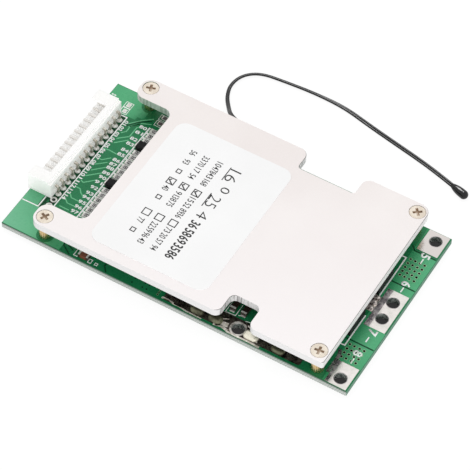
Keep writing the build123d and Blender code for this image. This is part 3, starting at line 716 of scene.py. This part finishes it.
def add_ribbon(bm, places, width, level=board_face, height=ink_height):
    """A flat strip along a route, mitred at its corners."""
    route = [Vector((*on_board(x, y), level)) for x, y in places]
    headings = [(after - before).normalized() for before, after in zip(route, route[1:])]
    edge = None
    faces = []
    for i, here in enumerate(route):
        came = headings[max(0, i - 1)]
        goes = headings[min(i, len(headings) - 1)]
        along = (came + goes).normalized()
        reach = width * mm / 2 / max(0.4, along.dot(goes))
        across = Vector((-along.y, along.x, 0)) * reach
        if edge is None:
            ends = [bm.verts.new(here + across), bm.verts.new(here - across)]
            edge = bm.edges.new(ends)
            continue
        grown = bmesh.ops.extrude_edge_only(bm, edges=[edge])["geom"]
        fresh = [item for item in grown if isinstance(item, bmesh.types.BMVert)]
        faces += [item for item in grown if isinstance(item, bmesh.types.BMFace)]
        edge = next(item for item in grown if isinstance(item, bmesh.types.BMEdge)
                    and item.verts[0] in fresh and item.verts[1] in fresh)
        first_link = any(link.other_vert(fresh[0]) is ends[0] for link in fresh[0].link_edges)
        left, right = (fresh[0], fresh[1]) if first_link else (fresh[1], fresh[0])
        left.co = here + across
        right.co = here - across
        ends = [left, right]
    thicken(bm, faces, height)


def add_patch(bm, x0, x1, y0, y1, level=board_face, height=ink_height):
    """A flat rectangle between two corners."""
    middle_y = (y0 + y1) / 2
    add_ribbon(bm, [(x0, middle_y), (x1, middle_y)], y1 - y0, level, height)


def add_frame(bm, x0, x1, y0, y1, line, level=board_face, height=ink_height):
    """The outline of a rectangle, drawn inside its corners."""
    half = line / 2
    add_ribbon(bm, [(x0, y0 + half), (x1, y0 + half)], line, level, height)
    add_ribbon(bm, [(x0, y1 - half), (x1, y1 - half)], line, level, height)
    add_ribbon(bm, [(x0 + half, y0 + line), (x0 + half, y1 - line)], line, level, height)
    add_ribbon(bm, [(x1 - half, y0 + line), (x1 - half, y1 - line)], line, level, height)


def add_disc(bm, x, y, radius, level, height=ink_height, segments=20):
    """A flat round spot."""
    spot = Matrix.Translation((*on_board(x, y), level))
    made = bmesh.ops.create_circle(bm, cap_ends=True, segments=segments, radius=radius * mm, matrix=spot)
    faces = list({face for vert in made["verts"] for face in vert.link_faces})
    thicken(bm, faces, height)


def add_ring(bm, x, y, inner, outer, level, height=ink_height, steps=24):
    """A flat ring, spun from the rectangle of its section."""
    cx, cy = on_board(x, y)
    corners = [(inner, 0), (outer, 0), (outer, height), (inner, height)]
    verts = [bm.verts.new((cx + r * mm, cy, level + z * mm)) for r, z in corners]
    edges = [bm.edges.new((verts[i], verts[(i + 1) % 4])) for i in range(4)]
    bmesh.ops.spin(bm, geom=verts + edges, cent=(cx, cy, level), axis=(0, 0, 1), dvec=(0, 0, 0),
                   angle=math.tau, steps=steps, use_merge=True)


number_font = {}


def number_shape(text, weight):
    """The flat outline of a plain number, one unit high, as a mesh made once and kept."""
    if (text, weight) not in number_font:
        curve = bpy.data.curves.new("number", "FONT")
        curve.body = text
        curve.resolution_u = 3
        curve.offset = weight
        curve.align_x = "CENTER"
        number_font[text, weight] = curve_as_mesh(curve, "number_" + text)
    return number_font[text, weight]


def add_number(bm, text, x, y, size, turn, level=board_face, width=None, height=ink_height,
               weight=0.028):
    """A plain number centred on a place; size is its height and width squeezes or stretches it."""
    shape = number_shape(text, weight)
    low = Vector(min(vert.co[axis] for vert in shape.vertices) for axis in range(3))
    high = Vector(max(vert.co[axis] for vert in shape.vertices) for axis in range(3))
    tall = size * mm / (high.y - low.y)
    wide = tall if width is None else width * mm / (high.x - low.x)
    old = set(bm.verts)
    bm.from_mesh(shape)
    verts = [vert for vert in bm.verts if vert not in old]
    faces = list({face for vert in verts for face in vert.link_faces})
    centre = (low + high) / 2
    spot = Matrix.Translation((*on_board(x, y), level))
    turned = spot @ Matrix.Rotation(math.radians(turn), 4, "Z") @ Matrix.Diagonal((wide, tall, 1, 1))
    bmesh.ops.transform(bm, matrix=turned @ Matrix.Translation(-centre), verts=verts)
    thicken(bm, faces, height)


def finish_piece(bm, name, material):
    """Closes a piece off: outward normals, its finish and its body."""
    bmesh.ops.remove_doubles(bm, verts=bm.verts, dist=0.0005 * mm)
    bmesh.ops.recalc_face_normals(bm, faces=bm.faces)
    mesh = bpy.data.meshes.new(name)
    bm.to_mesh(mesh)
    bm.free()
    mesh.materials.append(material)
    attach(add_object(name, mesh), "root")
    print(name, "faces", len(mesh.polygons))


# %% [markdown]
# ## Copper under the lacquer
# Where copper lies under the mask, the mask looks lighter and stands up a little: broad pours at the
# two ends of the board, and tracks between the socket and the resistors. Drawing each one where the
# real one runs gives an order that a noise pattern can't. The pours also carry painted shade: they
# darken towards the plate. The gaps between copper areas, and the rings kept clear round the
# standoffs, are the opposite: darker; the dark strip under the socket's pins is painted shade.

# %% Pour the copper areas
pour_lacquer = finish("pour_lacquer", (84, 174, 124), (74, 165, 114), (0.24, 0.34), drift=70.0,
                      bump=0.1, depth=0.02, Specular_IOR_Level=0.3)


def pour_painted_shade(tree, tone):
    """Painted shade and light: the copper areas are paler towards the near left corner and towards the
    right end, and darker towards the plate. The one at the back left corner fades out towards the
    tracks."""
    left_end = blend(tree, ramp_along(tree, (-0.8, -0.6, 0.0), 48.0, 66.0), tone, (124, 192, 156))
    fading = blend(tree, ramp_along(tree, (0.78, -0.62, 0.0), -48.8, -45.6), left_end, (30, 124, 78))
    left_end = blend(tree, ramp_along(tree, to_back, 0.0, 1.0), left_end, fading)
    right_end = blend(tree, ramp_along(tree, to_right, 47.4, 53.5), (50, 144, 94), tone)
    return blend(tree, ramp_along(tree, to_right, 0.0, 1.0), left_end, right_end)


recolour(pour_lacquer, pour_painted_shade)
pour_height = 0.012
pours = bmesh.new()
for x0, x1, y0, y1 in (
    (-54.9, -49.85, -20.2, -15.0),
    (-54.9, -36.2, -30.5, -20.6),
    (-54.9, -41.4, 22.6, 30.5),
    (-54.9, -43.4, 21.3, 22.58),
    (47.4, 48.1, 21.8, 30.5),
    (47.4, 54.85, 9.05, 21.3),
    (47.4, 54.85, 6.0, 8.55),
    (47.4, 48.1, -8.4, 6.0),
    (47.4, 54.85, -14.65, -8.4),
    (47.4, 54.85, -22.6, -15.15),
    (47.4, 48.1, -30.5, -22.6),
):
    add_patch(pours, x0, x1, y0, y1, board_face, pour_height)
finish_piece(pours, "copper_pours", pour_lacquer)

# %% Run the tracks between the socket and the resistors
track_lacquer = finish("track_lacquer", (116, 196, 148), (104, 186, 136), (0.24, 0.34), drift=90.0,
                       bump=0.1, depth=0.02, Specular_IOR_Level=0.3)
gap_and_shade_lacquer = finish("gap_and_shade_lacquer", (4, 62, 34), (8, 72, 42), (0.24, 0.34), drift=90.0,
                     Specular_IOR_Level=0.2)
track_height = 0.02
track_width = 0.34
balance_tracks = [
    [(-44.3, 19.0), (-41.6, 22.1), (-38.9, 24.4)],
    [(-43.6, 18.0), (-40.9, 21.2), (-38.4, 22.3)],
    [(-44.3, 15.0), (-43.2, 16.2), (-43.2, 18.6), (-41.2, 20.8)],
    [(-41.4, 15.2), (-41.4, 19.0), (-40.6, 20.0)],
    [(-44.2, 12.5), (-41.4, 15.1)],
    [(-44.0, 10.7), (-40.9, 13.8)],
    [(-45.4, 7.3), (-43.7, 7.7), (-41.0, 7.5)],
    [(-44.5, 3.5), (-43.5, 3.5), (-41.6, 5.5)],
    [(-44.3, 1.1), (-43.9, 1.4), (-41.6, 3.5)],
    [(-44.1, -1.4), (-41.0, 1.7)],
    [(-44.3, -4.0), (-40.8, -0.6)],
    [(-44.5, -6.0), (-43.5, -6.4), (-40.6, -3.5)],
    [(-44.5, -8.8), (-43.0, -8.8), (-42.0, -10.0), (-40.6, -10.9)],
    [(-44.7, -11.5), (-43.3, -12.9), (-40.4, -12.9)],
    [(-44.7, -13.9), (-43.3, -15.1), (-40.4, -15.1)],
    [(-44.6, -17.1), (-41.5, -17.1)],
]
tracks = bmesh.new()
for route in balance_tracks:
    add_ribbon(tracks, route, track_width, board_face, track_height)
finish_piece(tracks, "balance_tracks", track_lacquer)

# %% Cut the dark gaps between copper areas and paint the shade under the socket's pins
gap_width = 0.4
spare_hole_x = -47.1
spare_hole_rows = (-16.15, -18.65)
gap_routes = [
    [(-44.4, 18.2), (-41.9, 21.3), (-39.0, 23.4)],
    [(-49.8, -20.0), (-49.8, -16.4)],
    [(46.6, 23.0), (48.0, 21.55), (54.6, 21.55)],
    [(45.4, 8.8), (54.6, 8.8)],
    [(44.8, -14.9), (54.6, -14.9)],
    [(-36.9, -25.5), (-35.9, -28.4), (-32.9, -30.3)],
    [(-35.8, -25.5), (-34.8, -27.6), (-32.6, -28.6)],
    [(-22.4, -26.5), (-22.4, -28.6), (-21.0, -30.3)],
]
gaps = bmesh.new()
for route in gap_routes:
    add_ribbon(gaps, route, gap_width, board_face, track_height)
# Painted shade: the dark strip between the socket's back wall and the white rule, under the pin row.
add_patch(gaps, -48.0, -45.98, -15.0, 20.6, board_face, track_height)
add_patch(gaps, -49.4, -48.5, -20.2, -16.2, board_face, track_height)
for y in spare_hole_rows:
    add_ring(gaps, spare_hole_x, y, 0.6, 1.45, board_face, track_height)
finish_piece(gaps, "copper_gaps_and_pin_row_shade", gap_and_shade_lacquer)

clearings = bmesh.new()
for x, y in ((-42.2, 28.0), (-42.2, -28.0), (44.65, 28.0), (44.65, -28.0)):
    add_disc(clearings, x, y, 2.6, board_face, 0.016, segments=40)
finish_piece(clearings, "standoff_clearings", board_lacquer)

# %% [markdown]
# ## White print on the board
# Screen-printed ink marks each pin and each chip, frames the parts and rules off the zones. It is
# matt, slightly raised and never quite solid. Only plain numbers are printed here.

# %% Print the left end and the front edge: rules, frames, pin numbers and chip numbers
ink_white = finish("ink_white", (254, 254, 254), (244, 248, 245), (0.55, 0.7), drift=900.0,
                   grain=2400.0, bump=0.3, depth=0.02)
rule_width, fine_rule = 0.36, 0.22
pin_numbers_x, chip_numbers_x = -45.05, -39.8
socket_pins = 14
first_pin_y = 18.85
pin_pitch = 2.5
chip_rows = [19.9, 17.8, 15.7, 10.5, 8.4, 6.3, 4.2, 2.1, 0.0, -5.9, -8.0, -10.1, -12.2, -14.3, -16.4]
chip_number_rows = [20.0, 17.7, 14.9, 12.8, 10.0, 8.0, 5.5, 3.7, 2.1, -0.1, -2.0, -4.1, -6.4, -8.8,
                    -10.6, -12.7, -14.7, -16.7]

print_left = bmesh.new()
add_ribbon(print_left, [(-48.2, 20.8), (-45.8, 20.8), (-45.8, -18.1)], rule_width)
add_ribbon(print_left, [(-38.2, 21.0), (-38.2, -18.1)], rule_width)
add_ribbon(print_left, [(-54.8, -20.5), (-49.6, -20.4), (-49.6, -16.3)], rule_width)
for i in range(socket_pins):
    add_number(print_left, f"{i + 1:02d}", pin_numbers_x, first_pin_y - i * pin_pitch, 1.25, -90,
               width=1.85)
for i, y in enumerate(chip_number_rows):
    add_number(print_left, str(80 + i), chip_numbers_x, y, 1.25, 0, width=2.4)
for y in chip_rows:
    add_frame(print_left, -38.1, -33.2, y - 1.02, y + 1.02, fine_rule)
for y in (26.1, 23.6):
    add_frame(print_left, -37.9, -34.2, y - 1.1, y + 1.1, 0.16)
for y0, y1 in ((23.9, 26.2), (21.4, 23.9)):
    add_frame(print_left, -49.1, -46.6, y0, y1, 0.18)
for x, y in ((-54.1, 26.4), (-53.3, 26.4), (-53.7, 25.6)):
    add_patch(print_left, x - 0.3, x + 0.3, y - 0.22, y + 0.22)
for x0, x1, y0, y1 in (
    (-31.9, -30.6, -29.9, -27.3), (-27.3, -26.1, -30.1, -28.6), (-25.2, -24.2, -29.9, -28.9),
):
    add_frame(print_left, x0, x1, y0, y1, fine_rule)
for route in (
    [(16.95, -20.2), (16.95, -24.35), (13.7, -24.6)],
    [(13.9, -20.2), (13.9, -24.4)],
    [(20.2, -24.6), (22.2, -24.2)],
    [(17.6, -23.9), (18.9, -23.4)],
):
    add_ribbon(print_left, route, fine_rule)
finish_piece(print_left, "board_print_left", ink_white)

# %% [markdown]
# The right end is ruled and numbered the same way, larger, so that the four power wires can be told
# apart. Each number stands beside a short dash. The balance resistors carry small grey codes.

# %% Print the right end and the chip codes
code_grey = finish("code_grey", (240, 240, 238), (216, 216, 214), (0.5, 0.65), drift=900.0,
                   grain=2400.0)
print_right = bmesh.new()
add_ribbon(print_right, [(45.9, 18.1), (47.15, 18.1), (47.15, 1.9)], rule_width)
add_ribbon(print_right, [(47.15, -5.5), (47.15, -17.4), (45.9, -17.4)], rule_width)
terminal_numbers = [("5", 21.3, 19.2), ("6", 9.8, 7.5), ("7", -9.7, -12.5), ("8", -18.0, -20.9)]
code_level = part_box("balance_resistors")[1].z
code_x = -35.7
chip_codes = bmesh.new()
for i, y in enumerate(chip_rows):
    add_number(chip_codes, str(100 + 11 * (i % 5)), code_x, y, 0.75, 0, code_level, width=1.3,
               weight=0.0)
    add_frame(chip_codes, -36.75, -34.6, y - 0.72, y + 0.72, 0.12, code_level, 0.02)
finish_piece(chip_codes, "chip_codes", code_grey)
for text, number_y, dash_y in terminal_numbers:
    add_number(print_right, text, 51.5, number_y, 2.8, -90)
    add_patch(print_right, 51.3, 51.68, dash_y - 0.95, dash_y + 0.95)
finish_piece(print_right, "board_print_right", ink_white)

# %% [markdown]
# ## Bare copper, vias and pads
# Bare spots are tinned like the lands. A via is a drilled hole with a pale rim under a thin film of
# lacquer; two fields of them carry the pack current through the board beside the terminals. The shade
# down the hole is painted as a dark spot inside the rim, which is all that shows of it.

# %% Drill the via fields
hole_dark = finish("hole_dark", (10, 12, 10), (4, 5, 4), (0.5, 0.7), drift=900.0,
                   Specular_IOR_Level=0.1)
via_rim_film = finish("via_rim_film", (168, 204, 164), (132, 180, 136), (0.3, 0.5), drift=900.0,
                      Metallic=0.4)
via_fields = [
    ([48.45, 49.9, 51.4, 52.85], [18.25, 16.6, 15.0, 13.4, 11.85], 0.36, 0.5),
    ([48.2, 49.6, 51.2, 52.6], [-16.35, -18.0, -19.55, -21.15, -22.8], 0.36, 0.5),
    ([-4.9], [-27.6, -28.5, -29.35], 0.24, 0.36),
]
via_rims = bmesh.new()
# Painted shade: each via's hole is a flat dark spot.
via_hole_shade = bmesh.new()
for columns, rows, hole, rim in via_fields:
    for x in columns:
        for y in rows:
            add_ring(via_rims, x, y, hole, rim, board_face, 0.05, steps=14)
            add_disc(via_hole_shade, x, y, hole, board_face, 0.02, segments=14)
for x in (-13.05, -9.75, -8.4):
    for y in (-27.75, -29.4):
        add_disc(via_hole_shade, x, y, 0.24, board_face, 0.03, segments=12)
finish_piece(via_rims, "via_rims", via_rim_film)
finish_piece(via_hole_shade, "via_hole_shade", hole_dark)

# %% Tin the bare pads and line the drilled holes
pad_tin = finish("pad_tin", (246, 245, 242), (214, 212, 208), (0.3, 0.5), drift=900.0, Metallic=0.3)
dress(pad_tin, "connector_solder", "spare_hole_rings")
pad_height = 0.06
bare_pads = bmesh.new()
for x, y in ((-47.8, 25.1), (-47.7, 22.6)):
    add_patch(bare_pads, x - 0.65, x + 0.65, y - 0.75, y + 0.75, board_face, pad_height)
for x, y in ((15.4, -23.25), (18.8, -23.25)):
    add_patch(bare_pads, x - 0.75, x + 0.75, y - 0.5, y + 0.5, board_face, pad_height)
finish_piece(bare_pads, "bare_pads", pad_tin)

pin_row_x, ball_radius = -47.05, 0.82
squash = Matrix.Diagonal((1.0, 1.0, 0.75, 1.0))
solder_balls = bmesh.new()
for i in range(socket_pins):
    spot = Vector((*on_board(pin_row_x, first_pin_y - i * pin_pitch), board_face))
    bmesh.ops.create_uvsphere(solder_balls, u_segments=20, v_segments=12, radius=ball_radius * mm,
                              matrix=Matrix.Translation(spot) @ squash)
for face in solder_balls.faces:
    face.smooth = True
finish_piece(solder_balls, "solder_balls", pad_tin)

barrel_wall = 0.03
board_depth = (board_high.z - board_low.z) / mm
land_holes = [(51.55, y, 1.8) for y in (27.4, 2.1, -4.3, -27.7)]
other_holes = [(19.9, -27.9, 1.9)] + [(spare_hole_x, y, 0.55) for y in spare_hole_rows]
barrels = bmesh.new()
for x, y, radius in land_holes + other_holes:
    add_ring(barrels, x, y, radius - barrel_wall, radius, board_low.z, board_depth, steps=36)
barrel_plating = finish("barrel_plating", (236, 244, 238), (110, 124, 116), (0.15, 0.35), drift=1200.0,
                        grain=600.0, bump=0.6, depth=0.1, Metallic=0.2)
ring_period = 0.55


def painted_ring_shading(tree, tone):
    """Bright and dark rounds one below the other in the wall: painted highlights and shade for the rings
    seen down a plated hole.
    """
    return blend(tree, stripes(tree, upwards, ring_period), (14, 22, 18), tone)


recolour(barrel_plating, painted_ring_shading)
finish_piece(barrels, "hole_barrels", barrel_plating)

# %% Darken the inner sides of the two nearer lands with wear and a painted reflection, and lay painted glints along the front edge
tin_wear_and_painted_reflection = finish("tin_wear_and_painted_reflection", (196, 190, 190), (104, 98, 104), (0.2, 0.45), drift=800.0, grain=900.0,
                  bump=0.7, depth=0.12, Metallic=0.9)
land_face = board_face + 0.1 * mm
wear_and_reflection = bmesh.new()
# Painted reflection and wear: the dark strips on the lands' inner sides stand in for the plate's
# underside mirrored in the tin, over crumpled solder; the ribbon and the rings round the holes use the
# same finish.
add_patch(wear_and_reflection, 48.15, 49.7, -8.3, 5.9, land_face, 0.015)
add_patch(wear_and_reflection, 48.15, 49.0, -30.4, -22.7, land_face, 0.015)
add_ribbon(wear_and_reflection, [(46.8, -19.2), (47.5, -20.9), (47.6, -24.0), (47.4, -27.6)], 1.0, board_face, 0.06)
for x, y, radius in land_holes:
    add_ring(wear_and_reflection, x, y, radius, radius + 0.16, land_face, 0.02, steps=36)
finish_piece(wear_and_reflection, "land_wear_and_painted_reflection", tin_wear_and_painted_reflection)

pale_solder_and_glint = finish("pale_solder_and_glint", (248, 243, 234), (186, 178, 166), (0.25, 0.45), drift=1100.0,
                    grain=700.0, bump=0.5, depth=0.12, Metallic=0.2)
spill_and_glints = bmesh.new()
# Painted highlights: the two lines along the front edge are pale strips that stand in for glints on the
# tinned margin; the ribbons laid on the strip are pale solder.
front_glint_line = [(-3.4, -29.6), (-1.4, -29.5), (0.4, -29.9), (2.2, -29.85), (4.6, -30.15), (9.5, -30.2)]
add_ribbon(spill_and_glints, front_glint_line, 0.32, board_face, 0.12)
add_ribbon(spill_and_glints, [(17.4, -30.25), (20.4, -30.3), (24.2, -30.2), (27.8, -30.35)], 0.5, board_face, 0.14)
strip_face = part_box("front_bus_strip")[1].z
for route, width in (
    ([(-3.2, -29.45), (-1.4, -29.4), (0.6, -29.75)], 0.35),
    ([(13.6, -29.7), (15.2, -28.7), (17.0, -28.4)], 1.5),
    ([(13.2, -30.0), (15.6, -29.6), (17.6, -30.1)], 0.8),
    ([(16.2, -26.4), (14.4, -27.3), (12.4, -27.9)], 0.3),
    ([(21.7, -25.7), (23.4, -26.3), (25.2, -27.8)], 0.35),
    ([(22.6, -27.2), (24.0, -28.4), (26.6, -29.4)], 0.25),
):
    add_ribbon(spill_and_glints, route, width, strip_face, 0.06)
finish_piece(spill_and_glints, "solder_spill_and_glints", pale_solder_and_glint)

# %% [markdown]
# ## Print on the label
# The sticker on the plate carries a column of large figures and three of small ones, with ruled
# lines and tick boxes between them, all reading along the plate's short side. Here it is a plain
# generic form: numbers, boxes and rules in the same weight and rhythm.

# %% Lay out the label
ink_black = finish("ink_black", (34, 34, 34), (50, 50, 50), (0.5, 0.65), drift=1200.0, grain=2600.0)
label_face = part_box("label")[1].z
label_ink = 0.02
box_line, tick_line = 0.3, 0.36
form = bmesh.new()


def add_label_number(text, x, y, size, width, weight=0.005):
    """A plain number that reads along the plate's short side."""
    add_number(form, text, x, y, size, -90, label_face, width, label_ink, weight)


def add_tick_box(x, y, side, ticked):
    """A square box on the form, with a stroke across it when it is ticked."""
    half = side / 2
    add_frame(form, x - half, x + half, y - half, y + half, box_line, label_face, label_ink)
    if ticked:
        tick = [(x - 0.1, y + 0.75), (x - 0.7, y + 0.2), (x + 1.0, y - 1.2)]
        add_ribbon(form, tick, tick_line, label_face + label_ink * mm, label_ink)


for text, y, width in (("16", 11.7, 4.6), ("25", 0.9, 4.4)):
    add_label_number(text, -5.5, y, 3.4, width, -0.012)
for y0, y1 in ((9.0, 14.3), (-2.0, 3.4)):
    add_patch(form, -7.5, -7.22, y0, y1, label_face, label_ink)
add_label_number("0", -4.6, 6.1, 2.6, 2.2, -0.005)
add_label_number("4", -5.4, -4.8, 3.2, 2.6, -0.012)
for text, y in (("36", -8.9), ("58", -12.2), ("69", -15.2), ("35", -18.3), ("86", -21.3)):
    add_label_number(text, -5.6, y, 3.0, 2.7, 0.02)
columns = [
    (-10.85, [13.4, 11.4, 9.5, 7.5, 5.3, -1.7, -4.0, -6.5, -8.3, -14.3, -16.7, -19.1, -21.6], 1.1,
     -11.5, []),
    (-15.1, [13.2, 11.0, 8.4, 5.7, -1.8, -3.9, -6.0, -14.7, -16.8, -19.0, -21.3], 1.4, -11.7, []),
    (-19.15, [13.2, 9.5, -1.7, -15.2], 1.2, -11.8, [5.4, -5.5, -19.1]),
]
for column, (x, cells, ticked_y, empty_y, small_boxes) in enumerate(columns):
    for i, y in enumerate(cells):
        add_label_number(str((37 * i + 23 * column) % 90 + 10), x, y, 2.0, 1.8)
    add_tick_box(x, ticked_y, 2.5, True)
    add_tick_box(x, empty_y, 2.5, False)
    for y in small_boxes:
        add_tick_box(x, y, 1.6, False)
finish_piece(form, "label_print", ink_black)
